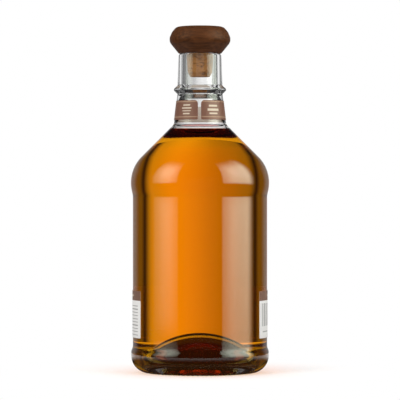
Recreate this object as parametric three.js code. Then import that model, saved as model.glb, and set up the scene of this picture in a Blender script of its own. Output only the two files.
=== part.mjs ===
// A 750 ml spirits bottle of clear blown glass, filled, labelled and stoppered.
// The glass has a punt under the base, a heel and a shoulder that stand proud of the side,
// a collar round the neck and a wide bore. A turned wooden knob carries the cork that plugs it.
// Sizes are in millimetres. +Z is up, the axis is x = y = 0, and the bottle stands on z = 0.
// The side that faces -Y shows the gap between the two ends of the neck label.
import * as THREE from "three";

// Outside of the glass, from the table up. Each height is that of its own stretch.
const BODY_RADIUS = 44.5;
const BEARING_WIDTH = 5.8; // from the punt's foot to where the heel begins to curve
const HEEL_ROUND = 11.6;
const HEEL_PROUD = 1.16; // how far the heel stands out past the side
const HEEL_HEIGHT = 14.4;
const HEEL_BLEND_HEIGHT = 2.6;
const HEEL_BLEND_ROUND = 6;
const BODY_HEIGHT = 100.5; // the straight side, which takes the labels
const SHOULDER_PROUD = 1.3;
const SHOULDER_BLEND_HEIGHT = 5.4;
const SHOULDER_BLEND_ROUND = 12;
const SHOULDER_HEIGHT = 13.1;
const SHOULDER_ROUND = 24.5;
const CONE_ANGLE = 45; // between the shoulder's cone and the axis
const NECK_FOOT_RADIUS = 17.3;
const NECK_FOOT_ROUND = 5;
const NECK_HEIGHT = 20.2;
const NECK_TOP_RADIUS = 14.95;
const COLLAR_RADIUS = 17.3;
const COLLAR_HEIGHT = 5.6;
const COLLAR_BAND = 1.1; // height of the collar's outermost band
const COLLAR_ROUND = 0.9;
const FINISH_FOOT_RADIUS = 14.9; // the finish is the neck above the collar
const FINISH_TOP_RADIUS = 14.05;
const FINISH_HEIGHT = 21;
const LIP_ROUND = 1.5;

// The punt, pushed up into the base.
const PUNT_DEPTH = 22.5;
const PUNT_FOOT_ROUND = 3;

// Inside of the glass.
const WALL = 2.6;
const NECK_FOOT_WALL = 1.8; // the cone's thickness where it meets the neck
const NECK_FOOT_STEP = 0.5; // how much slimmer the inside is at the neck's foot
const BORE_RADIUS = 9.25;
const BORE_LENGTH = 26; // from the lip down to where the bore opens into the neck
const BORE_FOOT_ROUND = 40;
const BORE_ENTRY_ROUND = 1.4;
const PUNT_WALL = 4.5; // at the punt's crown
const PUNT_FOOT_WALL = 2.4;
const FLOOR_THICKNESS = 7.5; // in the trough between the punt and the heel
const TROUGH_INNER_ROUND = 5;
const TROUGH_OUTER_ROUND = 9;

// Contents, down from the foot of the neck to the surface.
const HEADSPACE_DROP = 3.7;

// Stopper. The knob sits on the lip, and the cork hangs in the bore.
const KNOB_FOOT_RADIUS = 14.2;
const KNOB_FOOT_ROUND = 0.5;
const KNOB_RADIUS = 20.15;
const KNOB_TAPER_HEIGHT = 7.35;
const KNOB_BAND_HEIGHT = 3.45; // between the lower and the upper taper
const KNOB_LOWER_ROUND = 5;
const KNOB_UPPER_ROUND = 6;
const KNOB_TOP_RADIUS = 16.5;
const KNOB_TOP_HEIGHT = 6.8; // from the band to the top's edge
const KNOB_TOP_ROUND = 3.8;
const KNOB_CROWN = 0.3; // rise of the nearly flat top
const CORK_LENGTH = 16; // below the knob
const CORK_TAPER = 0.9; // how much smaller the radius is at the end
const CORK_CHAMFER = 1.6;
const CORK_CHAMFER_HEIGHT = 3;
const TENON_RADIUS = 7; // the cork's upper end, glued in a recess of the knob
const TENON_LENGTH = 4;

// Labels. Angles are degrees round the axis from the side that faces -Y, positive towards +X.
const PAPER = 0.15;
const NECK_LABEL_HEIGHT = 12.8;
const NECK_LABEL_LIFT = 2.8; // above the foot of the neck
const NECK_LABEL_GAP = 7; // angle left bare between the two ends
const NECK_LABEL_SEAM = -1.2;
const NECK_LABEL_TOP_CORNER = 2.5;
const NECK_LABEL_BOTTOM_CORNER = 0.8;
const SIDE_LABEL_HEIGHT = 31;
const SIDE_LABEL_LIFT = 6.7; // above the foot of the straight side
const SIDE_LABEL_SPREAD = 59; // angle that each label covers
const SIDE_LABEL_FACING = 90;
const SIDE_LABEL_CORNER = 0.8;

// Fits. Paper and liquid clear the glass by a hair, and the cork and the knob clear what holds them.
const CONTACT_GAP = 0.15;
const CORK_GAP = 0.3;
const LIP_GAP = 0.3;
const TENON_GAP = 0.3;

// Facets.
const TURN_SEGMENTS = 48;
const FACET_DEPTH = 0.13; // how far a flat facet may lie inside its arc
const SIDE_SHARE = 0.98; // of a side's length, left to the rounds at its two ends
const PAPER_STEP = 5; // angle between a label's creases
const CORNER_STEPS = 4;

const { degToRad } = THREE.MathUtils;
const coneAngle = degToRad(CONE_ANGLE);

// Heights and radii that follow from the sizes above.
const heelRadius = BODY_RADIUS + HEEL_PROUD;
const shoulderRadius = BODY_RADIUS + SHOULDER_PROUD;
const puntFootRadius = heelRadius - HEEL_ROUND - BEARING_WIDTH;
const bodyFoot = HEEL_HEIGHT + HEEL_BLEND_HEIGHT;
const bodyTop = bodyFoot + BODY_HEIGHT;
const shoulderFoot = bodyTop + SHOULDER_BLEND_HEIGHT;
const shoulderCorner = shoulderFoot + SHOULDER_HEIGHT;
const neckFoot = coneHeight(NECK_FOOT_RADIUS);
const neckTop = neckFoot + NECK_HEIGHT;
const collarTop = neckTop + COLLAR_HEIGHT;
const lipHeight = collarTop + FINISH_HEIGHT;
const liquidLevel = neckFoot - HEADSPACE_DROP;
const knobFoot = lipHeight + LIP_GAP;

// Height of the shoulder's cone where it has a given radius.
function coneHeight(radius) {
  return shoulderCorner + (shoulderRadius - radius) / Math.tan(coneAngle);
}

// Number of flat facets that stand in for an arc.
function facetCount(radius, turn) {
  return Math.max(2, Math.ceil(turn / (2 * Math.acos(1 - FACET_DEPTH / Math.max(radius, 1)))));
}

// Points of an arc about a centre, from one point through a signed turn.
function arc(centre, from, turn) {
  const steps = facetCount(centre.distanceTo(from), Math.abs(turn));
  return Array.from({ length: steps + 1 }, (_, i) => from.clone().rotateAround(centre, (turn * i) / steps));
}

// Half a dome seen from the side, from its crown on the axis out to its foot.
function dome(crown, footRadius, footHeight) {
  const rise = crown - footHeight;
  const round = (footRadius ** 2 + rise ** 2) / (2 * rise);
  const centre = new THREE.Vector2(0, crown - round);
  const turn = Math.atan2(footRadius, footHeight - centre.y);
  return arc(centre, new THREE.Vector2(0, crown), -turn).map(({ x, y }) => [x, y]);
}

// Corners [radius, height, round] become a smooth outline.
// Each round is an arc that touches both sides of its corner, cut down where two would meet on a side.
function outline(corners) {
  const at = corners.map(([radius, height]) => new THREE.Vector2(radius, height));
  const sides = at.slice(1).map((point, i) => point.clone().sub(at[i]));
  const turns = sides.slice(1).map((side, i) => Math.atan2(sides[i].cross(side), sides[i].dot(side)));
  const reach = corners.map(([, , round = 0], i) => round * Math.tan(Math.abs(turns[i - 1] ?? 0) / 2));
  const room = sides.map((side, i) => (SIDE_SHARE * side.length()) / (reach[i] + reach[i + 1]));

  return at.flatMap((corner, i) => {
    const length = reach[i] * Math.min(1, room[i - 1], room[i]);
    if (!(length > 0)) return [corner];
    const turn = turns[i - 1];
    const side = sides[i - 1];
    const start = corner.clone().sub(side.clone().setLength(length));
    const across = new THREE.Vector2(-side.y, side.x).setLength(length / Math.tan(turn / 2));
    return arc(start.clone().add(across), start, turn);
  });
}

function turned(points) {
  return new THREE.LatheGeometry(points, TURN_SEGMENTS).rotateX(Math.PI / 2);
}

// Outside of the glass, from the punt's crown down to the table and up to the lip.
function glassOutside() {
  const collarMiddle = (neckTop + collarTop) / 2;
  return [
    ...dome(PUNT_DEPTH, puntFootRadius, 0).slice(0, -1),
    [puntFootRadius, 0, PUNT_FOOT_ROUND],
    [heelRadius, 0, HEEL_ROUND],
    [heelRadius, HEEL_HEIGHT, HEEL_BLEND_ROUND],
    [BODY_RADIUS, bodyFoot, HEEL_BLEND_ROUND],
    [BODY_RADIUS, bodyTop, SHOULDER_BLEND_ROUND],
    [shoulderRadius, shoulderFoot, SHOULDER_ROUND],
    [shoulderRadius, shoulderCorner, SHOULDER_ROUND],
    [NECK_FOOT_RADIUS, neckFoot, NECK_FOOT_ROUND],
    [NECK_TOP_RADIUS, neckTop, COLLAR_ROUND],
    [COLLAR_RADIUS, collarMiddle - COLLAR_BAND / 2, COLLAR_ROUND],
    [COLLAR_RADIUS, collarMiddle + COLLAR_BAND / 2, COLLAR_ROUND],
    [FINISH_FOOT_RADIUS, collarTop, COLLAR_ROUND],
    [FINISH_TOP_RADIUS, lipHeight, LIP_ROUND],
  ];
}

// Inside of the glass, from above the punt's crown down to the trough and up to the lip.
function glassInside() {
  const puntRound = (puntFootRadius ** 2 + PUNT_DEPTH ** 2) / (2 * PUNT_DEPTH);
  const puntAtFloor = Math.sqrt(puntRound ** 2 - (FLOOR_THICKNESS + puntRound - PUNT_DEPTH) ** 2);
  const troughRadius = puntAtFloor + PUNT_FOOT_WALL;
  const innerShoulder = shoulderRadius - WALL;
  const innerNeckFoot = NECK_FOOT_RADIUS - NECK_FOOT_STEP;
  const underCone = (radius, wall) => coneHeight(radius) - wall / Math.sin(coneAngle);
  return [
    ...dome(PUNT_DEPTH + PUNT_WALL, troughRadius, FLOOR_THICKNESS).slice(0, -1),
    [troughRadius, FLOOR_THICKNESS, TROUGH_INNER_ROUND],
    [BODY_RADIUS - WALL, FLOOR_THICKNESS, TROUGH_OUTER_ROUND],
    [BODY_RADIUS - WALL, bodyTop, SHOULDER_BLEND_ROUND],
    [innerShoulder, shoulderFoot, SHOULDER_ROUND - WALL],
    [innerShoulder, underCone(innerShoulder, WALL), SHOULDER_ROUND - WALL],
    [innerNeckFoot, underCone(innerNeckFoot, NECK_FOOT_WALL), NECK_FOOT_ROUND],
    [BORE_RADIUS, lipHeight - BORE_LENGTH, BORE_FOOT_ROUND],
    [BORE_RADIUS, lipHeight, BORE_ENTRY_ROUND],
  ];
}

function glass() {
  return turned(outline([...glassOutside(), ...glassInside().reverse()]));
}

// An outline that starts on the axis, moved to its left, square to itself.
function movedLeft(points, distance) {
  const [crown, ...rest] = points;
  const moved = rest.map((point, i) => {
    const before = points[i];
    const after = points[Math.min(i + 2, points.length - 1)];
    return new THREE.Vector2(before.y - after.y, after.x - before.x).setLength(distance).add(point);
  });
  return [new THREE.Vector2(0, crown.y + distance), ...moved];
}

// The liquid takes the form of the inside of the glass, up to its level surface.
function liquid() {
  const wall = movedLeft(outline(glassInside()), CONTACT_GAP);
  const above = wall.findIndex((point, i) => point.y > liquidLevel && wall[i - 1]?.y <= liquidLevel);
  const [below, over] = [wall[above - 1], wall[above]];
  const edge = below.clone().lerp(over, (liquidLevel - below.y) / (over.y - below.y));
  return turned([...wall.slice(0, above), edge, new THREE.Vector2(0, liquidLevel)]);
}

// The knob, with the recess that takes the cork's tenon.
function knob() {
  const recessRadius = TENON_RADIUS + TENON_GAP;
  const recessTop = knobFoot + TENON_LENGTH;
  const band = knobFoot + KNOB_TAPER_HEIGHT;
  const upperTaper = band + KNOB_BAND_HEIGHT;
  const topEdge = upperTaper + KNOB_TOP_HEIGHT;
  return turned(outline([
    [0, recessTop],
    [recessRadius, recessTop],
    [recessRadius, knobFoot],
    [KNOB_FOOT_RADIUS, knobFoot, KNOB_FOOT_ROUND],
    [KNOB_RADIUS, band, KNOB_LOWER_ROUND],
    [KNOB_RADIUS, upperTaper, KNOB_UPPER_ROUND],
    [KNOB_TOP_RADIUS, topEdge, KNOB_TOP_ROUND],
    [0, topEdge + KNOB_CROWN],
  ]));
}

// The cork: chamfered end, tapered plug, a step under the knob, and the tenon.
function cork() {
  const end = knobFoot - CORK_LENGTH;
  const step = knobFoot - TENON_GAP;
  const tenonTop = step + TENON_LENGTH;
  const plugRadius = BORE_RADIUS - CORK_GAP;
  const endRadius = plugRadius - CORK_TAPER;
  return turned(outline([
    [0, end],
    [endRadius - CORK_CHAMFER, end, CORK_CHAMFER / 2],
    [endRadius, end + CORK_CHAMFER_HEIGHT, CORK_CHAMFER],
    [plugRadius, step],
    [TENON_RADIUS, step],
    [TENON_RADIUS, tenonTop],
    [0, tenonTop],
  ]));
}

// Distances along an edge where a rounded corner gets a crease, with how far the corner cuts in there.
function cornerCut(distance, corner) {
  const short = Math.max(0, corner - distance);
  return corner - Math.sqrt(corner ** 2 - short ** 2);
}

// A strip of paper round the axis, on a wall whose radius is a function of height.
// Four points at each angle, inner and outer at the foot and at the top, are joined to the next four.
function paperStrip(wallRadius, foot, top, middle, spread, footCorner, topCorner) {
  const perDegree = degToRad(1) * wallRadius((foot + top) / 2);
  const corner = Math.max(footCorner, topCorner) / perDegree;
  const inCorner = Array.from({ length: CORNER_STEPS }, (_, i) => corner * (i / CORNER_STEPS) ** 2);
  const steps = Math.ceil((spread - 2 * corner) / PAPER_STEP);
  const between = Array.from({ length: steps + 1 }, (_, i) => corner + ((spread - 2 * corner) * i) / steps);
  const angles = [...inCorner, ...between, ...inCorner.map((angle) => spread - angle).reverse()];

  const positions = angles.flatMap((angle) => {
    const fromEnd = Math.min(angle, spread - angle) * perDegree;
    const low = foot + cornerCut(fromEnd, footCorner);
    const high = top - cornerCut(fromEnd, topCorner);
    const turn = degToRad(middle - spread / 2 + angle);
    const place = (height, lift) => {
      const radius = wallRadius(height) + lift;
      return [radius * Math.sin(turn), -radius * Math.cos(turn), height];
    };
    const [under, over] = [CONTACT_GAP, CONTACT_GAP + PAPER];
    return [place(low, under), place(low, over), place(high, over), place(high, under)].flat();
  });

  const indices = [0, 1, 2, 0, 2, 3];
  for (let column = 0; column < angles.length - 1; column++) {
    for (let side = 0; side < 4; side++) {
      const [a, b] = [4 * column + side, 4 * column + ((side + 1) % 4)];
      indices.push(a, b + 4, b, a, a + 4, b + 4);
    }
  }
  const last = 4 * (angles.length - 1);
  indices.push(last, last + 2, last + 1, last, last + 3, last + 2);
  return new THREE.BufferGeometry()
    .setAttribute("position", new THREE.Float32BufferAttribute(positions, 3))
    .setIndex(indices);
}

// The band round the neck, with its two ends almost meeting at the front.
function neckLabel() {
  const slope = (NECK_TOP_RADIUS - NECK_FOOT_RADIUS) / NECK_HEIGHT;
  const wallRadius = (height) => NECK_FOOT_RADIUS + slope * (height - neckFoot);
  const foot = neckFoot + NECK_LABEL_LIFT;
  const top = foot + NECK_LABEL_HEIGHT;
  const corners = [NECK_LABEL_BOTTOM_CORNER, NECK_LABEL_TOP_CORNER];
  return paperStrip(wallRadius, foot, top, NECK_LABEL_SEAM + 180, 360 - NECK_LABEL_GAP, ...corners);
}

// A label on the straight side, about a given angle.
function sideLabel(facing) {
  const foot = bodyFoot + SIDE_LABEL_LIFT;
  const top = foot + SIDE_LABEL_HEIGHT;
  const corners = [SIDE_LABEL_CORNER, SIDE_LABEL_CORNER];
  return paperStrip(() => BODY_RADIUS, foot, top, facing, SIDE_LABEL_SPREAD, ...corners);
}

const finishes = {
  glass: { color: 0xeef3f0, roughness: 0.03, transparent: true, opacity: 0.3 },
  spirit: { color: 0xc76a08, roughness: 0.05, transparent: true, opacity: 0.85 },
  wood: { color: 0x3a1f12, roughness: 0.42 },
  cork: { color: 0xa37444, roughness: 0.85 },
  copperPaper: { color: 0x744d3c, roughness: 0.55 },
  whitePaper: { color: 0xd9d4cc, roughness: 0.6 },
};

function piece(name, geometry, finish) {
  const mesh = new THREE.Mesh(geometry, new THREE.MeshStandardMaterial({ metalness: 0, ...finish }));
  mesh.name = name;
  return mesh;
}

const bottle = new THREE.Group();
bottle.add(
  piece("glass_bottle", glass(), finishes.glass),
  piece("whiskey", liquid(), finishes.spirit),
  piece("neck_label", neckLabel(), finishes.copperPaper),
  piece("text_label", sideLabel(-SIDE_LABEL_FACING), finishes.whitePaper),
  piece("barcode_label", sideLabel(SIDE_LABEL_FACING), finishes.whitePaper),
);

const stopper = new THREE.Group();
stopper.add(piece("stopper_head", knob(), finishes.wood), piece("stopper_cork", cork(), finishes.cork));

const whole = new THREE.Group();
whole.add(bottle, stopper);

export default whole;
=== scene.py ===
# %% [markdown]
# # A filled whiskey bottle
# The bottle is clear glass, so nearly all of its look is what light does on its way through: it bends
# at the glass, loses its blue and green in the liquid, and comes out showing what stands behind.
# The pieces are therefore made with exact outlines first, and the studio round them is built with
# the same care. Lengths are in millimetres here and become metres where they enter a mesh.

# %% Load the fixed frame
import math

import bpy
import numpy as np
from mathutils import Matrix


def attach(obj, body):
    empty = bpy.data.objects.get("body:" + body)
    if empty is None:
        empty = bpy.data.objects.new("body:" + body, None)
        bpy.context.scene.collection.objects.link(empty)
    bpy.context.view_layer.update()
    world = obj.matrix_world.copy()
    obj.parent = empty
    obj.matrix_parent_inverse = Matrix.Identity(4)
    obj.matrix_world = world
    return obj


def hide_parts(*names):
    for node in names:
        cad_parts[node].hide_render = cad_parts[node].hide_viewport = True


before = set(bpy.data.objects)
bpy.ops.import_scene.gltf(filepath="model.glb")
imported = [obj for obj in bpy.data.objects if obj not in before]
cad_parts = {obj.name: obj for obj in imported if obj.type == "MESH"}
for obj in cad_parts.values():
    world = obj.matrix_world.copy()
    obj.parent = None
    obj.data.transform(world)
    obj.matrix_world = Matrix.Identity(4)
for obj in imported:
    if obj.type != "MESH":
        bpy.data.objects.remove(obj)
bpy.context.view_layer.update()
MM = 0.001
print("solids of the frame:", sorted(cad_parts))

# %% [markdown]
# ## Outlines
# Everything here but the labels is turned: one outline, carried round the axis. An outline is a list
# of corners, each with the radius of its round, as on a drawing. A point of it is one complex number,
# radius + height * i, because then turning an arc is a multiplication.

# %% Round the corners of an outline
ARC_STEP = math.radians(4)
SIDE_SHARE = 0.98  # of a side that two rounds may use up together


def rounded(corners):
    """Smooth outline of [(point, round)]. Each round is an arc that touches both sides of its corner.
    Its ends lie round * tan(turn / 2) from the corner, less where two rounds would meet on a side."""
    points = np.array([point for point, _ in corners], complex)
    rounds = np.array([radius for _, radius in corners], float)
    sides = np.diff(points)
    turns = np.concatenate([[0], np.angle(sides[1:] / sides[:-1]), [0]])
    reach = rounds * np.abs(np.tan(turns / 2))
    room = SIDE_SHARE * np.abs(sides) / np.maximum(reach[:-1] + reach[1:], 1e-9)
    reach = reach * np.minimum(1, np.minimum(np.append(room, 1), np.insert(room, 0, 1)))
    pieces = []
    for i, corner in enumerate(points):
        if reach[i] < 1e-6:
            pieces.append([corner])
            continue
        along = sides[i - 1] / abs(sides[i - 1])
        start = corner - along * reach[i]
        centre = start + 1j * along * reach[i] / math.tan(turns[i] / 2)
        steps = max(3, math.ceil(abs(turns[i]) / ARC_STEP))
        pieces.append(centre + (start - centre) * np.exp(1j * turns[i] * np.linspace(0, 1, steps + 1)))
    return np.concatenate(pieces)


print("points of a right angle with a round:", len(rounded([(0, 0), (10, 3), (10 + 10j, 0)])))


# %% Outline of a dome
def dome(crown, foot_radius, foot_height):
    """Arc from the axis at the crown's height, down and out to the foot, as corners with no round.
    Its radius is (foot_radius^2 + rise^2) / (2 * rise)."""
    rise = crown - foot_height
    radius = (foot_radius**2 + rise**2) / (2 * rise)
    reach = math.atan2(foot_radius, radius - rise)
    turn = np.linspace(0, reach, math.ceil(reach / ARC_STEP) + 1)
    arc = 1j * (crown - radius) + 1j * radius * np.exp(-1j * turn)
    return [(point, 0) for point in arc]


print("points of a dome twice as wide as it is high:", len(dome(10, 10, 0)))

# %% [markdown]
# ## From outline to solid
# Carried round the axis, each point of the outline becomes a ring of vertices. The two ends of the
# outline lie on the axis, where a ring would shrink to nothing, so each end is a single vertex with a
# fan of triangles. Long straight stretches get extra rings, so that no quad is a long sliver.

# %% Meshes at the origin
def make_mesh(name, vertices, faces):
    """A piece with its place in its mesh, in metres, and its object at the origin."""
    mesh = bpy.data.meshes.new(name)
    mesh.from_pydata((np.asarray(vertices) * MM).tolist(), [], [list(face) for face in faces])
    mesh.validate()
    mesh.polygons.foreach_set("use_smooth", np.ones(len(mesh.polygons), bool))
    piece = bpy.data.objects.new(name, mesh)
    bpy.context.scene.collection.objects.link(piece)
    return piece


print("a millimetre in a mesh is", MM, "m")

# %% Carry an outline round the axis
LONGEST_STEP = 6


def filled_in(outline, longest=LONGEST_STEP):
    """The same outline with points added on its straight stretches, at most a given step apart."""
    steps = np.maximum(1, np.ceil(np.abs(np.diff(outline)) / longest)).astype(int)
    between = [a + (b - a) * np.arange(n) / n for a, b, n in zip(outline[:-1], outline[1:], steps)]
    return np.append(np.concatenate(between), outline[-1])


def spun_faces(rings, turns):
    """Quads between neighbouring rings, then a fan from the first end and a fan from the last one."""
    ring, column = np.meshgrid(np.arange(rings - 1), np.arange(turns), indexing="ij")
    here, beside = ring * turns + column, ring * turns + (column + 1) % turns
    quads = np.stack([here, beside, beside + turns, here + turns], -1).reshape(-1, 4)
    this_one, next_one = np.arange(turns), (np.arange(turns) + 1) % turns
    first_end, last_end = np.full(turns, rings * turns), np.full(turns, rings * turns + 1)
    last_ring = (rings - 1) * turns
    fans = np.concatenate([
        np.stack([first_end, next_one, this_one], -1),
        np.stack([last_end, last_ring + this_one, last_ring + next_one], -1),
    ])
    return quads.tolist() + fans.tolist()


def spun(name, outline, turns, lift=None):
    """The solid swept by an outline from axis to axis. Vertex (i, j) is the outline's point i at the angle
    2 pi j / turns. lift(points, angle) may return a change of height for each."""
    rings = outline[1:-1]
    angle = 2 * np.pi * np.arange(turns) / turns
    radius, height = rings.real[:, None], rings.imag[:, None]
    if lift is not None:
        height = height + lift(rings[:, None], angle[None, :])
    grid = np.stack(np.broadcast_arrays(radius * np.sin(angle), -radius * np.cos(angle), height), -1)
    ends = [[0, 0, outline[0].imag], [0, 0, outline[-1].imag]]
    vertices = np.concatenate([grid.reshape(-1, 3), ends])
    piece = make_mesh(name, vertices, spun_faces(len(rings), turns))
    print(f"{name}: {len(rings)} rings of {turns}, {2 * len(rings) * turns} triangles")
    return piece


print("rings of a line of 20 mm:", len(filled_in(np.array([0, 20j]))))

# %% [markdown]
# ## The glass
# The bottle is blown: outside and inside are two different outlines, thick at the heel and thin at the
# foot of the neck. The heel and the shoulder stand proud of the side, which keeps the labels from
# rubbing against the next bottle in a case. These are the same sizes as the frame's solid has, with
# finer arcs, because a lens shows every facet.

# %% Sizes of the glass
BODY_RADIUS, HEEL_RADIUS, SHOULDER_RADIUS = 44.5, 45.66, 45.8
HEEL_ROUND, HEEL_BLEND, SHOULDER_ROUND, SHOULDER_BLEND = 11.6, 6, 24.5, 12
HEEL_TOP, BODY_FOOT, BODY_TOP, SHOULDER_FOOT, SHOULDER_CORNER = 14.4, 17, 117.5, 122.9, 136
NECK_FOOT_RADIUS, NECK_TOP_RADIUS, NECK_ROUND = 17.3, 14.95, 5
NECK_FOOT = SHOULDER_CORNER + SHOULDER_RADIUS - NECK_FOOT_RADIUS
NECK_TOP = NECK_FOOT + 20.2
COLLAR_RADIUS, COLLAR_BAND, COLLAR_ROUND = 17.3, 1.1, 0.9
COLLAR_TOP = NECK_TOP + 5.6
FINISH_FOOT_RADIUS, FINISH_TOP_RADIUS, LIP_ROUND = 14.9, 14.05, 1.5
LIP = COLLAR_TOP + 21
PUNT_DEPTH, PUNT_FOOT_RADIUS, PUNT_FOOT_ROUND = 22.5, 28.26, 3
WALL, NECK_FOOT_WALL, PUNT_WALL, PUNT_FOOT_WALL = 2.6, 1.8, 4.5, 2.4
FLOOR, TROUGH_INNER_ROUND, TROUGH_OUTER_ROUND = 7.5, 5, 9
BORE_RADIUS, BORE_FOOT, BORE_FOOT_ROUND, BORE_ENTRY_ROUND = 9.25, LIP - 26, 40, 1.4
SURFACE = NECK_FOOT - 3.7  # height of the liquid's level
print(f"body {2 * BODY_RADIUS} mm across, lip at {LIP:.1f} mm, liquid up to {SURFACE:.1f} mm")

# %% Outside of the glass
collar_middle = (NECK_TOP + COLLAR_TOP) / 2
outside = rounded(dome(PUNT_DEPTH, PUNT_FOOT_RADIUS, 0)[:-1] + [
    (PUNT_FOOT_RADIUS, PUNT_FOOT_ROUND),
    (HEEL_RADIUS, HEEL_ROUND),
    (HEEL_RADIUS + HEEL_TOP * 1j, HEEL_BLEND),
    (BODY_RADIUS + BODY_FOOT * 1j, HEEL_BLEND),
    (BODY_RADIUS + BODY_TOP * 1j, SHOULDER_BLEND),
    (SHOULDER_RADIUS + SHOULDER_FOOT * 1j, SHOULDER_ROUND),
    (SHOULDER_RADIUS + SHOULDER_CORNER * 1j, SHOULDER_ROUND),
    (NECK_FOOT_RADIUS + NECK_FOOT * 1j, NECK_ROUND),
    (NECK_TOP_RADIUS + NECK_TOP * 1j, COLLAR_ROUND),
    (COLLAR_RADIUS + (collar_middle - COLLAR_BAND / 2) * 1j, COLLAR_ROUND),
    (COLLAR_RADIUS + (collar_middle + COLLAR_BAND / 2) * 1j, COLLAR_ROUND),
    (FINISH_FOOT_RADIUS + COLLAR_TOP * 1j, COLLAR_ROUND),
    (FINISH_TOP_RADIUS + LIP * 1j, LIP_ROUND),
    (BORE_RADIUS + LIP * 1j, 0),
])[:-1]
print(f"outside: {len(outside)} points up to {outside.imag.max():.1f} mm")

# %% Inside of the glass
ROOT_TWO = math.sqrt(2)


def cone_height(radius, wall):
    """Height, at a radius, of the cone that lies a wall's thickness inside the shoulder's 45 degree cone."""
    return SHOULDER_CORNER + SHOULDER_RADIUS - radius - wall * ROOT_TWO


punt_round = (PUNT_FOOT_RADIUS**2 + PUNT_DEPTH**2) / (2 * PUNT_DEPTH)
punt_at_floor = math.sqrt(punt_round**2 - (FLOOR + punt_round - PUNT_DEPTH) ** 2)
trough_radius = punt_at_floor + PUNT_FOOT_WALL
inner_shoulder = SHOULDER_RADIUS - WALL
inner_neck_foot = NECK_FOOT_RADIUS - 0.5
inside = rounded(dome(PUNT_DEPTH + PUNT_WALL, trough_radius, FLOOR)[:-1] + [
    (trough_radius + FLOOR * 1j, TROUGH_INNER_ROUND),
    (BODY_RADIUS - WALL + FLOOR * 1j, TROUGH_OUTER_ROUND),
    (BODY_RADIUS - WALL + BODY_TOP * 1j, SHOULDER_BLEND),
    (inner_shoulder + SHOULDER_FOOT * 1j, SHOULDER_ROUND - WALL),
    (inner_shoulder + cone_height(inner_shoulder, WALL) * 1j, SHOULDER_ROUND - WALL),
    (inner_neck_foot + cone_height(inner_neck_foot, NECK_FOOT_WALL) * 1j, NECK_ROUND),
    (BORE_RADIUS + BORE_FOOT * 1j, BORE_FOOT_ROUND),
    (BORE_RADIUS + LIP * 1j, BORE_ENTRY_ROUND),
    (FINISH_TOP_RADIUS + LIP * 1j, 0),
])[:-1]
print(f"inside: {len(inside)} points down to {inside.imag.min():.1f} mm")

# %% [markdown]
# The inside is cut at the liquid's level, so that one ring of the glass lies exactly there. Below it
# the glass meets liquid and bends light far less than where it meets air: what counts is the ratio of
# the two indices, 1.52 / 1.36. The wetted faces get a finish of their own with that ratio.

# %% Cut an outline at a height
GLASS_INDEX, LIQUID_INDEX = 1.52, 1.36


def cut_at(outline, height):
    """The parts of an outline below and above a height that it passes once, both with the point there."""
    after = int(np.argmax(outline.imag > height))
    low, high = outline[after - 1], outline[after]
    point = low + (high - low) * (height - low.imag) / (high.imag - low.imag)
    return np.append(outline[:after], point), np.insert(outline[after:], 0, point)


wet, dry = cut_at(inside, SURFACE)
CUBIC_MM_IN_ML = 1000
discs = np.pi * ((wet.real[1:] + wet.real[:-1]) / 2) ** 2 * np.diff(wet.imag)
print(f"liquid below the surface: about {abs(discs.sum()) / CUBIC_MM_IN_ML:.0f} ml")

# %% [markdown]
# Under the bearing ring the mould leaves a row of small notches, which keep the hot bottle from
# sticking and grip the conveyor. They lift the ring's underside by up to 0.9 mm.
#
# The bands of quads between the rings come in the outline's order: up the punt's dome, out over the
# bearing ring, up the outside, over the lip and down the inside. So a band's number tells its finish.

# %% Make the glass
NOTCHES, NOTCH_DEPTH, NOTCH_INNER, NOTCH_OUTER, NOTCH_TOP = 72, 0.9, 31.2, 37.5, 1.5
GLASS_TURNS = 3 * NOTCHES


def notches(points, angle):
    """Lift of the underside: a row of waves round the ring, faded in and out over its width."""
    across = np.clip((points.real - NOTCH_INNER) / (NOTCH_OUTER - NOTCH_INNER), 0, 1)
    near_floor = np.clip(1 - points.imag / NOTCH_TOP, 0, 1)
    wave = 0.5 + 0.5 * np.cos(NOTCHES * angle)
    return NOTCH_DEPTH * np.sin(np.pi * across) * near_floor * wave


glass_outline = np.concatenate([filled_in(outside), filled_in(dry)[::-1], filled_in(wet)[::-1][1:]])
glass = spun("glass", glass_outline, GLASS_TURNS, notches)
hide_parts("glass_bottle")
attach(glass, "bottle")

# %% Give each band of the glass its finish
UNDERSIDE = 1.2  # the ring's finish reaches up to this height
CLEAR_FACE, WETTED_FACE, RING_FACE, PUNT_FACE = range(4)
wet_rings = len(filled_in(wet))
ring_count = len(glass_outline) - 2
ring_heights = glass_outline[1:-1].imag
bands = np.arange(ring_count - 1)
band_tops = np.maximum(ring_heights[:-1], ring_heights[1:])
band_finish = np.where(bands > ring_count - wet_rings, WETTED_FACE, CLEAR_FACE)
band_finish[bands < np.argmin(ring_heights)] = PUNT_FACE
band_finish[band_tops < UNDERSIDE] = RING_FACE
face_finish = np.repeat(np.append(band_finish, [PUNT_FACE, WETTED_FACE]), GLASS_TURNS)
glass.data.polygons.foreach_set("material_index", face_finish.astype(np.int32))
print("faces clear, wetted, of the ring and of the punt:", np.bincount(face_finish).tolist())

# %% [markdown]
# ## The liquid
# Its side lies a hair inside the glass. That face must not bend light again, so its index is 1, and it
# only marks where the colour begins. The surface on top meets air and has the liquid's own index. A
# thin rim climbs the wall there, as a liquid does that wets glass.

# %% Make the liquid
LIQUID_GAP, LIQUID_TURNS = 0.02, 144
RIM_RISE, RIM_REACH, RIM_POINTS, RIM_CROWDING = 0.9, 1.4, 40, 2.2


def moved_left(outline, distance):
    """Each point moves to the left of the outline's direction there."""
    direction = np.gradient(outline)
    return outline + 1j * distance * direction / np.abs(direction)


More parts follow.
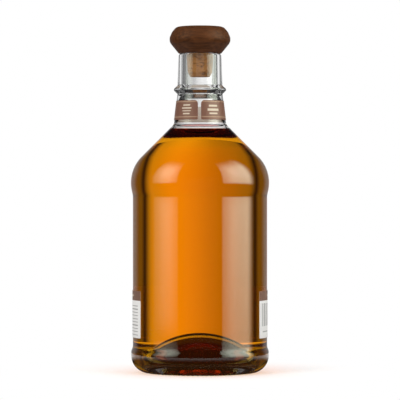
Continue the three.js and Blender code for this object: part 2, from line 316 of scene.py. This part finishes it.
side = moved_left(wet, LIQUID_GAP)
side[0] = 1j * side[0].imag
below_rim = side[side.imag < SURFACE - 0.01]
rim_radius = side[-1].real
from_wall = rim_radius * np.linspace(0, 1, RIM_POINTS) ** RIM_CROWDING
rim = (rim_radius - from_wall) + 1j * (SURFACE + RIM_RISE * (np.exp(-from_wall / RIM_REACH) - 1))
top = np.append(rim[:-1], 1j * rim[-1].imag)
liquid_outline = np.concatenate([filled_in(below_rim), top])
liquid = spun("liquid", liquid_outline, LIQUID_TURNS)
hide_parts("whiskey")
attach(liquid, "bottle")

# %% Mark the liquid's level
side_bands, first_fan = len(filled_in(below_rim)) - 1, len(liquid_outline) - 3
band = np.arange(len(liquid.data.polygons)) // LIQUID_TURNS
on_level = (band >= side_bands) & (band != first_fan)
liquid.data.polygons.foreach_set("material_index", on_level.astype(np.int32))
print("faces of the liquid's level:", int(on_level.sum()))

# %% [markdown]
# ## The stopper
# A turned knob of dark stained wood, glued to a tapered cork. The knob leaves the lathe with soft
# rounds, and the same outline tool serves for it. The cork stands a hair clear of the glass.

# %% Make the knob
STOPPER_TURNS = 160
KNOB_FOOT = LIP + 0.3
KNOB_WAIST, KNOB_EDGE, KNOB_BROW, KNOB_TOP = (KNOB_FOOT + rise for rise in (7.35, 10.5, 14.3, 17.6))
KNOB_FOOT_RADIUS, KNOB_RADIUS, KNOB_BROW_RADIUS, KNOB_TOP_RADIUS = 14.2, 20.15, 18.5, 15.6
TENON_TOP, TENON_RADIUS, CROWN = KNOB_FOOT + 4, 7.3, 0.3
knob = spun("knob", filled_in(rounded([
    (TENON_TOP * 1j, 0),
    (TENON_RADIUS + TENON_TOP * 1j, 0.3),
    (TENON_RADIUS + KNOB_FOOT * 1j, 0.3),
    (KNOB_FOOT_RADIUS + KNOB_FOOT * 1j, 0.5),
    (KNOB_RADIUS + KNOB_WAIST * 1j, 5),
    (KNOB_RADIUS + KNOB_EDGE * 1j, 4.5),
    (KNOB_BROW_RADIUS + KNOB_BROW * 1j, 6),
    (KNOB_TOP_RADIUS + KNOB_TOP * 1j, 3.8),
    ((KNOB_TOP + CROWN) * 1j, 0),
]), 1), STOPPER_TURNS)
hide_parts("stopper_head")
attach(knob, "stopper")

# %% Make the cork
CORK_END, CORK_CHAMFER, CORK_TOP = LIP - 0.3 - 15.4, 3, LIP + 4
CORK_END_RADIUS, CORK_FOOT_RADIUS, CORK_HEAD_RADIUS, CORK_TENON_RADIUS = 6.45, 8.05, 8.95, 7
cork = spun("cork_plug", filled_in(rounded([
    (CORK_END * 1j, 0),
    (CORK_END_RADIUS + CORK_END * 1j, 0.8),
    (CORK_FOOT_RADIUS + (CORK_END + CORK_CHAMFER) * 1j, 1.6),
    (CORK_HEAD_RADIUS + LIP * 1j, 0.1),
    (CORK_TENON_RADIUS + LIP * 1j, 0),
    (CORK_TENON_RADIUS + CORK_TOP * 1j, 0.3),
    (CORK_TOP * 1j, 0),
]), 1), STOPPER_TURNS)
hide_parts("stopper_cork")
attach(cork, "stopper")

# %% [markdown]
# ## The labels
# Each label is a closed sheet of paper with its own thickness, bent round the glass. Its print is an
# attribute: a colour for each point of a fine grid, worked out from where the point lies on the sheet,
# in millimetres from its middle. The print here is plain: bands, rules and bars.

# %% Faces of a sheet
PAPER, PAPER_GRID = 0.15, 0.25


def sheet_faces(rows, columns):
    """Faces of a closed sheet. Its inner grid of points comes first and its outer one after that, and
    a rim of quads joins their four edges."""
    count = (rows + 1) * (columns + 1)
    row, column = np.meshgrid(np.arange(rows), np.arange(columns), indexing="ij")
    here = (row * (columns + 1) + column).ravel()
    above = here + columns + 1
    outer = np.stack([here, here + 1, above + 1, above], -1) + count
    inner = np.stack([above, above + 1, here + 1, here], -1)
    foot = np.arange(columns)
    head = foot + rows * (columns + 1)
    left = np.arange(rows) * (columns + 1)
    right, next_left = left + columns, left + columns + 1
    next_right = right + columns + 1
    rim = [
        (foot, foot + 1, foot + 1 + count, foot + count),
        (head + count, head + 1 + count, head + 1, head),
        (left + count, next_left + count, next_left, left),
        (right, next_right, next_right + count, right + count),
    ]
    return np.concatenate([outer, inner, *(np.stack(quads, -1) for quads in rim)]).tolist()


print("faces of a sheet of 2 by 3 cells:", len(sheet_faces(2, 3)))


# %% Print on a sheet
BARE_BACK = (0.72, 0.68, 0.61)


def put_ink_on(piece, colour):
    """Store a colour for each point: the paper's bare back on the inner grid, the print on the outer one."""
    back = np.broadcast_to(np.array(BARE_BACK), colour.shape)
    both = np.concatenate([back, colour])
    opaque = np.append(both, np.ones((len(both), 1)), 1)
    attribute = piece.data.attributes.new("print", "FLOAT_COLOR", "POINT")
    attribute.data.foreach_set("color", opaque.astype(np.float32).ravel())
    print(f"{piece.name}: {len(colour)} points of print")


def box_print(u, v, middle_u, width, middle_v, height):
    """True inside a rectangle: |u - middle_u| <= width / 2 and |v - middle_v| <= height / 2."""
    return (np.abs(u - middle_u) <= width / 2) & (np.abs(v - middle_v) <= height / 2)


def inked(u, paper, fields):
    """Paper's colour, with each (mask, colour) printed over the one before."""
    colour = np.broadcast_to(np.array(paper, float), (*u.shape, 3)).copy()
    for mask, ink in fields:
        colour[mask] = ink
    return colour


# %% Bend a sheet round the bottle
def corner_cut(to_end, size):
    """How far a round corner cuts into an edge: size * (1 - sqrt(1 - inset^2)), where the inset is the
    part of the corner's size that the point lies past its start."""
    inset = np.clip(1 - to_end / size, 0, 1)
    return size * (1 - np.sqrt(1 - inset**2))


def bent(radius, turn, z):
    """Points at a radius, an angle from the front and a height."""
    return np.stack([radius * np.sin(turn), -radius * np.cos(turn), z], -1).reshape(-1, 3)


def sheet(name, half_angle, facing, foot, height, corners, radius_at, ink):
    """A sheet from -half_angle to half_angle about a facing angle. Point (u, v) lies at radius_at(z), at
    the angle facing + u / radius and the height foot + v."""
    radius = radius_at(foot + height / 2)
    columns = math.ceil(2 * half_angle * radius / PAPER_GRID)
    rows = math.ceil(height / PAPER_GRID)
    angle = np.linspace(-half_angle, half_angle, columns + 1)
    u = angle * radius
    to_end = np.clip(half_angle * radius - np.abs(u), 0, None)
    low = foot + corner_cut(to_end, corners[0])
    high = foot + height - corner_cut(to_end, corners[1])
    z = low + (high - low) * np.linspace(0, 1, rows + 1)[:, None]
    turn = np.broadcast_to(facing + angle, z.shape)
    layers = [bent(radius_at(z) + lift, turn, z) for lift in (0, PAPER)]
    piece = make_mesh(name, np.concatenate(layers), sheet_faces(rows, columns))
    put_ink_on(piece, ink(np.broadcast_to(u, z.shape), z - foot).reshape(-1, 3))
    return piece


# %% Colours of paper and ink
COPPER, TAN, CREAM = (0.185, 0.08, 0.05), (0.42, 0.27, 0.17), (0.66, 0.55, 0.42)
WHITE, BROWN, GREY = (0.87, 0.85, 0.82), (0.18, 0.088, 0.055), (0.34, 0.33, 0.32)
print("palest paper", WHITE, "and darkest ink", BROWN)

# %% [markdown]
# The neck label is a band on the neck's slight cone. Its ends almost meet at the front, a little left
# of the middle, and its upper corners are rounder than its lower ones.

# %% Make the neck label
NECK_LABEL_FOOT, NECK_LABEL_HEIGHT = NECK_FOOT + 2.8, 12.8
NECK_GAP, NECK_SEAM = math.radians(7), math.radians(-1.2)
NECK_CORNERS = (0.8, 2.5)  # lower, upper
NECK_RULES = ((12.0, 0.2), (1.9, 0.22))  # middle, half height
LEFT_BARS = ((9.6, 0.7, 5.5), (7.7, 0.7, 7.5), (5.8, 0.7, 6.5), (3.9, 0.7, 5))  # middle, height, width
RIGHT_BARS = ((9.2, 1.2, 6.5), (6.6, 1.5, 8.5), (4.1, 0.9, 6))
LEFT_BARS_IN, RIGHT_BARS_IN = 8.2, 8.6  # from the seam to the middle of the bars


def neck_radius(z):
    """The neck's cone, and the hair of air under the paper."""
    slope = (NECK_TOP_RADIUS - NECK_FOOT_RADIUS) / (NECK_TOP - NECK_FOOT)
    return NECK_FOOT_RADIUS + slope * (z - NECK_FOOT) + PAPER


def neck_print(u, v):
    """Tan rules near both edges, and a few cream bars between them on each side of the seam."""
    end = u.max()
    near = np.minimum(u + end, end - u)
    left = u > 0
    fields = [(np.abs(v - middle) < half, TAN) for middle, half in NECK_RULES]
    for side, bars, inwards in ((left, LEFT_BARS, LEFT_BARS_IN), (~left, RIGHT_BARS, RIGHT_BARS_IN)):
        for middle, tall, wide in bars:
            fields.append((side & box_print(near, v, inwards, wide, middle, tall), CREAM))
    return inked(u, COPPER, fields)


neck_band = sheet(
    "neck_band", math.pi - NECK_GAP / 2, math.pi + NECK_SEAM, NECK_LABEL_FOOT, NECK_LABEL_HEIGHT,
    NECK_CORNERS, neck_radius, neck_print)
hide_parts("neck_label")
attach(neck_band, "bottle")

# %% [markdown]
# The two labels on the sides of the body have the same form: a brown band over a white panel. One
# holds rules as for a few lines of small print, the other holds bars.

# %% Make the side labels
SIDE_FOOT, SIDE_HEIGHT, SIDE_HALF = BODY_FOOT + 6.7, 31, math.radians(29.5)
BAND_FOOT, SIDE_CORNERS = SIDE_HEIGHT - 6.4, (0.8, 0.8)
BARS_START, BAR_WIDTHS, BAR_GAPS = -19.0, [0.5, 1.1, 0.5, 0.8, 1.5, 0.6, 0.5, 1.2, 0.7], (0.6, 0.9, 0.5)


def side_radius(z):
    """The body's straight side, and the hair of air under the paper."""
    return BODY_RADIUS + PAPER + 0 * z


def ruled_print(u, v):
    """Brown band, and rows of thin grey rules of different lengths."""
    fields = [(v > BAND_FOOT, BROWN), (box_print(u, v, 0, 20, BAND_FOOT + 3.2, 1.0), CREAM)]
    rows = np.arange(2.2, BAND_FOOT - 1.5, 2.1)
    for row, middle in enumerate(rows):
        width = 38 - 7 * (row % 4 == 1) - 12 * (row % 5 == 3)
        fields.append((box_print(u, v, (38 - width) / 2, width, middle, 0.55), GREY))
    return inked(u, WHITE, fields)


def barred_print(u, v):
    """Brown band, a block of upright bars of different widths, and two short rules."""
    fields = [(v > BAND_FOOT, BROWN), (box_print(u, v, 0, 14, BAND_FOOT + 3.2, 1.0), CREAM)]
    at = BARS_START
    for count, width in enumerate(np.tile(BAR_WIDTHS, 2)):
        fields.append((box_print(u, v, at, width, 15.3, 15), GREY))
        at += width + BAR_GAPS[count % len(BAR_GAPS)]
    fields.append((box_print(u, v, -12, 12, 4.3, 0.8), GREY))
    fields += [(box_print(u, v, 12, 14, middle, 0.6), GREY) for middle in (4.3, 8.5, 11, 13.5, 19, 21.5)]
    return inked(u, WHITE, fields)


side_labels = []
for name, node, facing, ink in (
    ("left_label", "text_label", -math.pi / 2, ruled_print),
    ("right_label", "barcode_label", math.pi / 2, barred_print),
):
    label = sheet(name, SIDE_HALF, facing, SIDE_FOOT, SIDE_HEIGHT, SIDE_CORNERS, side_radius, ink)
    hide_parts(node)
    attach(label, "bottle")
    side_labels.append(label)

# %% [markdown]
# ## Finishes
# A finish is one Principled shader. Its plain numbers stand on its own sockets, and a pattern comes in
# only where the surface has one.

# %% Helpers for materials
def finish(name, **values):
    """A new material with these values on its shader's sockets."""
    material = bpy.data.materials.new(name)
    material.use_nodes = True
    shader = material.node_tree.nodes["Principled BSDF"]
    for socket, value in values.items():
        shader.inputs[socket.replace("_", " ")].default_value = value
    return material, material.node_tree, shader


def node(tree, kind, **values):
    """A node with these socket values, by name or as i0, i1 by number. A socket as a value is linked."""
    made = tree.nodes.new(kind)
    for socket, value in values.items():
        by_number = socket[0] == "i" and socket[1:].isdigit()
        place = made.inputs[int(socket[1:]) if by_number else socket.replace("_", " ")]
        if isinstance(value, bpy.types.NodeSocket):
            tree.links.new(value, place)
        else:
            place.default_value = value
    return made


def maths(tree, operation, *values):
    """One Math node. Its answer is clamped to 0..1 only if the operation's name starts with a plus sign."""
    made = node(tree, "ShaderNodeMath", **{f"i{i}": value for i, value in enumerate(values)})
    made.operation = operation.lstrip("+")
    made.use_clamp = operation.startswith("+")
    return made.outputs[0]


bare = (glass, liquid, knob, cork, neck_band, *side_labels)
print("pieces that wait for a finish:", [piece.name for piece in bare])

# %% [markdown]
# Light from the lamps would be stopped by the glass, because a shadow ray doesn't bend. So shadow rays
# and the light that soft surfaces gather pass the glass as if it weren't there, slightly dimmed.
# The underside is stippled on the ring and stands over a dark hollow, so the base looks dark brown from
# the side. That dark is painted shade: both faces there get a dark brown colour and let only part of the
# light through, where clear glass would show the white card.

# %% Glass
def let_light_through(tree, shader, tint):
    """Mix the shader with tinted clear air for shadow rays and for rays that a matt surface sends out."""
    path = tree.nodes.new("ShaderNodeLightPath")
    soft = maths(tree, "MAXIMUM", path.outputs["Is Shadow Ray"], path.outputs["Is Diffuse Ray"])
    clear = node(tree, "ShaderNodeBsdfTransparent", Color=tint)
    mix = node(tree, "ShaderNodeMixShader", i0=soft, i1=shader.outputs[0], i2=clear.outputs[0])
    tree.links.new(mix.outputs[0], tree.nodes["Material Output"].inputs["Surface"])


# Painted shade: a dark brown colour for the ring's underside and the glass over the punt, for the dark under
# the base.
CLEAR, PAINTED_BASE_SHADE = (1, 1, 1, 1), (0.04, 0.014, 0.003, 1)
PAST_GLASS, PAST_WET_GLASS = (0.95, 0.96, 0.95, 1), (0.97, 0.97, 0.96, 1)
PAST_LIQUID = (0.93, 0.91, 0.88, 1)


def see_through(name, index, past, colour=CLEAR, roughness=0.0, share=1.0):
    """A finish that lets a share of the light in and bends it. past is the tint for unbent soft light."""
    material, tree, shader = finish(
        name, Base_Color=colour, Roughness=roughness, IOR=index, Transmission_Weight=share)
    let_light_through(tree, shader, past)
    return material


glass_finishes = {
    CLEAR_FACE: see_through("clear glass", GLASS_INDEX, PAST_GLASS),
    WETTED_FACE: see_through("glass under liquid", GLASS_INDEX / LIQUID_INDEX, PAST_WET_GLASS),
    # The ring and the glass over the punt carry painted shade: dark brown, with only part of the light let
    # through.
    RING_FACE: see_through("stippled ring with painted shade", GLASS_INDEX, PAST_GLASS, PAINTED_BASE_SHADE, 0.5, 0.12),
    PUNT_FACE: see_through("glass over the punt with painted shade", GLASS_INDEX, PAST_GLASS, PAINTED_BASE_SHADE, 0.0, 0.4),
}
for face in sorted(glass_finishes):
    glass.data.materials.append(glass_finishes[face])
print("finishes of the glass:", [material.name for material in glass.data.materials])

# %% Liquid
AMBER_DENSITY, AMBER = 95, (0.985, 0.8126, 0.0, 1)
for name, index in (("amber liquid", 1.0), ("amber liquid level", LIQUID_INDEX)):
    material = see_through(name, index, PAST_LIQUID)
    tree = material.node_tree
    inside_colour = node(tree, "ShaderNodeVolumeAbsorption", Color=AMBER, Density=AMBER_DENSITY)
    tree.links.new(inside_colour.outputs[0], tree.nodes["Material Output"].inputs["Volume"])
    liquid.data.materials.append(material)
print("finishes of the liquid:", [material.name for material in liquid.data.materials])

# %% [markdown]
# The knob's wood is stained nearly black-brown. Its grain is long streaks, cut across by the turning,
# so they lie level on the front and show as ends on the sides. The cork is pale with dark pores.

# %% Wood and cork
def grain(name, scale, detail, dark, light, spread, **values):
    """A finish whose colour runs between two colours with a noise stretched along one axis."""
    material, tree, shader = finish(name, **values)
    place = tree.nodes.new("ShaderNodeTexCoord")
    stretched = node(tree, "ShaderNodeMapping", Vector=place.outputs["Object"], Scale=scale)
    noise = node(
        tree, "ShaderNodeTexNoise", Vector=stretched.outputs[0], Scale=1, Detail=detail, Roughness=0.62)
    ramp = node(tree, "ShaderNodeValToRGB", Fac=noise.outputs["Fac"])
    for stop, position, colour in zip(ramp.color_ramp.elements, spread, (dark, light)):
        stop.position, stop.color = position, (*colour, 1)
    tree.links.new(ramp.outputs[0], shader.inputs["Base Color"])
    bump = node(tree, "ShaderNodeBump", Strength=0.12, Distance=0.0002, Height=noise.outputs["Fac"])
    tree.links.new(bump.outputs[0], shader.inputs["Normal"])
    return material


knob.data.materials.append(grain(
    "stained wood", (60, 700, 900), 5, (0.042, 0.0125, 0.003), (0.115, 0.038, 0.0105), (0.32, 0.68),
    Roughness=0.48, Specular_IOR_Level=0.14))
cork.data.materials.append(grain(
    "natural cork", (260, 260, 600), 6, (0.09, 0.03, 0.004), (0.36, 0.15, 0.035), (0.34, 0.5),
    Roughness=0.8))
print("grained finishes:", [piece.data.materials[0].name for piece in (knob, cork)])

# %% [markdown]
# The papers read their print from the attribute.

# %% Paper
for piece, name in zip((neck_band, *side_labels), ("neck paper", "left paper", "right paper")):
    material, tree, shader = finish(name, Roughness=0.5, Coat_Weight=0.1, Coat_Roughness=0.3)
    ink = tree.nodes.new("ShaderNodeAttribute")
    ink.attribute_name = "print"
    tree.links.new(ink.outputs["Color"], shader.inputs["Base Color"])
    piece.data.materials.append(material)
print("finishes:", [material.name for material in bpy.data.materials])

# %% [markdown]
# ## The studio
# Glass shows its surroundings, so they are drawn as cards all round, each with a direction and a size.
# Behind the bottle is a broad white card, and beside it a narrow dark one on each side: they give the
# glass its dark edges. Two tall soft boxes stand in front, left and right, and only shine on surfaces.
# What the camera sees past the bottle is plain white.

# %% Cards all round
world = bpy.data.worlds.new("studio")
bpy.context.scene.world = world
world.use_nodes = True
studio = world.node_tree
studio.nodes.clear()
direction = studio.nodes.new("ShaderNodeTexCoord").outputs["Generated"]
split = node(studio, "ShaderNodeSeparateXYZ", Vector=direction)
east, north, up = split.outputs
azimuth = maths(studio, "MULTIPLY", maths(studio, "ARCTAN2", east, north), math.degrees(1))
elevation = maths(studio, "MULTIPLY", maths(studio, "ARCSINE", up), math.degrees(1))
print("directions: azimuth 0 is behind the bottle, 90 is on its right, elevation 90 is straight up")


# %% Steps, products and sums of light
def step(value, start, end, low=0.0, high=1.0):
    """Smooth step of a value in degrees: low before start, high after end."""
    made = node(
        studio, "ShaderNodeMapRange", Value=value, From_Min=start, From_Max=end, To_Min=low, To_Max=high)
    made.interpolation_type = "SMOOTHSTEP"
    return made.outputs[0]


def product(*values):
    """Product of several sockets or numbers."""
    answer = values[0]
    for value in values[1:]:
        answer = maths(studio, "MULTIPLY", answer, value)
    return answer


def total(*values):
    """Sum of several sockets or numbers."""
    answer = values[0]
    for value in values[1:]:
        answer = maths(studio, "ADD", answer, value)
    return answer


print("light helpers:", [helper.__name__ for helper in (step, product, total)])

# %% [markdown]
# Each card below is a product of steps. A ray that went through the glass sees the white card behind,
# a weaker one in front, a glow at the sides and the dim room. A ray off a glossy face sees the white
# card only at a grazing angle, and the two soft boxes. A box is the product of its two upright edges,
# its lower edge, its soft upper edge, a fade across it and a fade up it.

# %% Light that is seen through the glass
CARD_EDGE, CARD_END, ROOM = 24.5, 34.5, 0.015
off_axis = maths(studio, "ABSOLUTE", azimuth)
off_back = maths(studio, "MINIMUM", off_axis, maths(studio, "SUBTRACT", 180, off_axis))
level_band = step(elevation, 15, 18, 1, 0.05)
lean = step(azimuth, -14, 10, 0.52, 1.0)
card_behind = product(step(off_axis, CARD_EDGE, CARD_END, 1, 0), step(off_axis, 10, 27, 1, 0.76), lean)
card_before = step(off_axis, 180 - CARD_END, 180 - CARD_EDGE, 0, 0.8)
side_glow = total(product(step(off_back, 33, 40.5), 0.19), product(step(off_back, 68, 76), 0.6))
seen_through = total(ROOM, product(level_band, total(card_behind, card_before, side_glow)))
print("nodes up to the cards:", len(studio.nodes))

# %% Light that is seen in gloss
seen_in_gloss = total(ROOM, product(step(off_axis, 34, 53, 1, 0), step(elevation, 8, 25, 1, 0), 0.33))
left_box = product(
    step(azimuth, -143.5, -140), step(azimuth, -98, -92, 1, 0), step(elevation, -3.5, -2.7),
    step(elevation, 30, 62, 1, 0),
    total(0.35, product(step(azimuth, -143, -125), step(azimuth, -118, -96, 0.65, 0))),
    total(step(elevation, -4.5, 1.5, 0.6, 2.9), step(elevation, 0, 25, 0, 1.8)))
right_box = product(
    step(azimuth, 74, 91), step(azimuth, 140, 143.5, 1, 0), step(elevation, -4.4, -3.2),
    step(elevation, 30, 62, 1, 0),
    total(0.4, product(step(azimuth, 75, 94), step(azimuth, 120, 143, 0.6, 0))),
    total(step(elevation, -5, 1.5, 2.6, 5.6), step(elevation, 0, 25, 0, 1.5)))
print("nodes up to the soft boxes:", len(studio.nodes))

# %% Put the studio together
path = studio.nodes.new("ShaderNodeLightPath")
plain = step(elevation, -40, 30, 0.12, 1.0)


def choose(flag, yes, no):
    """yes where the flag is 1 and no where it is 0."""
    return total(product(flag, yes), product(maths(studio, "SUBTRACT", 1, flag), no))


by_eye, through_glass = path.outputs["Is Camera Ray"], path.outputs["Is Transmission Ray"]
in_gloss = product(path.outputs["Is Glossy Ray"], maths(studio, "SUBTRACT", 1, through_glass))
level = choose(by_eye, 1.0, choose(through_glass, seen_through, choose(in_gloss, seen_in_gloss, plain)))
light = node(studio, "ShaderNodeBackground", Color=(1, 1, 1, 1), Strength=level)
box_level = product(in_gloss, total(left_box, right_box))
boxes = node(studio, "ShaderNodeBackground", Color=(0.95, 1.06, 0.88, 1), Strength=box_level)
both = node(studio, "ShaderNodeAddShader", i0=light.outputs[0], i1=boxes.outputs[0])
output = studio.nodes.new("ShaderNodeOutputWorld")
studio.links.new(both.outputs[0], output.inputs[0])
print("studio:", len(studio.nodes), "nodes and", len(studio.links), "links")

# %% [markdown]
# A low round table top carries the bottle. It is white, keeps the soft shadow near the foot, and turns
# into the plain background towards its rim. Every ray but the camera's, such as one that came through
# the glass, finds a glow there instead, dark near the bottle and pale further out: the dark is a painted
# shadow.

# %% The table top
TABLE_RADIUS, TABLE_TURNS, TABLE_DROP = 240, 96, 0.05
SHADOW_START, SHADOW_END = 0.05, 0.13
# Painted shadow: the table's glow rises from a weak level near the foot to full between these two distances,
# in metres.
PAINTED_SHADE_START, PAINTED_SHADE_END, PAINTED_SHADE_GLOW = 0.07, 0.15, 0.02
turn = 2 * np.pi * np.arange(TABLE_TURNS) / TABLE_TURNS
rim_points = bent(TABLE_RADIUS, turn, np.full(TABLE_TURNS, -TABLE_DROP))
table = make_mesh("table_top", rim_points, [list(range(TABLE_TURNS))])
print("table top:", 2 * TABLE_RADIUS, "mm across")

# %% Finish of the table top
material, tree, shader = finish(
    "white table", Base_Color=(0.9, 0.9, 0.9, 1), Roughness=1.0, Specular_IOR_Level=0.0)
place = node(tree, "ShaderNodeVectorMath", i0=tree.nodes.new("ShaderNodeTexCoord").outputs["Object"])
place.operation = "LENGTH"
from_axis = place.outputs["Value"]
fade = node(tree, "ShaderNodeMapRange", Value=from_axis, From_Min=SHADOW_START, From_Max=SHADOW_END)
fade.interpolation_type = "SMOOTHSTEP"
# Painted shadow: rays that did not come from the camera see the table as a glow that is weak near the foot.
painted_shade_glow_ramp = node(
    tree, "ShaderNodeMapRange", Value=from_axis, From_Min=PAINTED_SHADE_START, From_Max=PAINTED_SHADE_END, To_Min=PAINTED_SHADE_GLOW)
by_eye = tree.nodes.new("ShaderNodeLightPath").outputs["Is Camera Ray"]
strength = maths(tree, "MAXIMUM", by_eye, painted_shade_glow_ramp.outputs[0])
background = node(tree, "ShaderNodeEmission", Color=(1, 1, 1, 1), Strength=strength)
share = maths(tree, "+ADD", fade.outputs[0], maths(tree, "SUBTRACT", 1, by_eye))
mix = node(tree, "ShaderNodeMixShader", i0=share, i1=shader.outputs[0], i2=background.outputs[0])
tree.links.new(mix.outputs[0], tree.nodes["Material Output"].inputs["Surface"])
table.data.materials.append(material)
print("finish of the table top:", material.name)

# %% [markdown]
# Two lamps give the matt surfaces their shape: one high on the left, a weaker one on the right.

# %% Lamps
LAMP_TARGET, LAMP_SIZE = (0, 0, 0.12), 0.7


def lamp(name, place, power):
    """A square lamp that looks at the middle of the bottle."""
    data = bpy.data.lights.new(name, "AREA")
    data.size, data.energy = LAMP_SIZE, power
    made = bpy.data.objects.new(name, data)
    made.location = place
    aim = np.array(LAMP_TARGET) - np.array(place)
    tilt = math.acos(-aim[2] / np.linalg.norm(aim))
    made.rotation_euler = (tilt, 0, math.atan2(aim[1], aim[0]) - math.pi / 2)
    made.visible_glossy = made.visible_transmission = False
    bpy.context.scene.collection.objects.link(made)
    print(f"{name}: {power} W, {math.degrees(tilt):.0f} degrees off straight down")


lamp("left lamp", (-0.9, -1.0, 1.1), 9)
lamp("right lamp", (1.1, -0.8, 0.7), 5)

# %% [markdown]
# ## The camera
# It stands 1.59 m away, level, at half the picture's height, with a long lens.

# %% The camera
DISTANCE, EYE, PICTURE_WIDTH, SENSOR = 1.59, 0.1144, 0.2653, 36
scene = bpy.context.scene
camera = bpy.data.objects.new("camera", bpy.data.cameras.new("camera"))
camera.location = (0, -DISTANCE, EYE)
camera.rotation_euler = (math.pi / 2, 0, 0)
camera.data.sensor_width = SENSOR
camera.data.lens = SENSOR * DISTANCE / PICTURE_WIDTH
camera.data.clip_start, camera.data.clip_end = 0.05, 20
scene.collection.objects.link(camera)
scene.camera = camera
print(f"lens: {camera.data.lens:.0f} mm")

# %% [markdown]
# A ray through the full bottle passes many faces, and one that ends too early is black. So the number
# of bounces is raised.

# %% Colours as written, and enough bounces
BOUNCES, CLEAR_AIR_BOUNCES = 24, 16
scene.view_settings.view_transform = "Standard"
scene.cycles.max_bounces = scene.cycles.transmission_bounces = BOUNCES
scene.cycles.transparent_max_bounces = CLEAR_AIR_BOUNCES
print(f"bounces: {BOUNCES}, and {CLEAR_AIR_BOUNCES} through clear air")
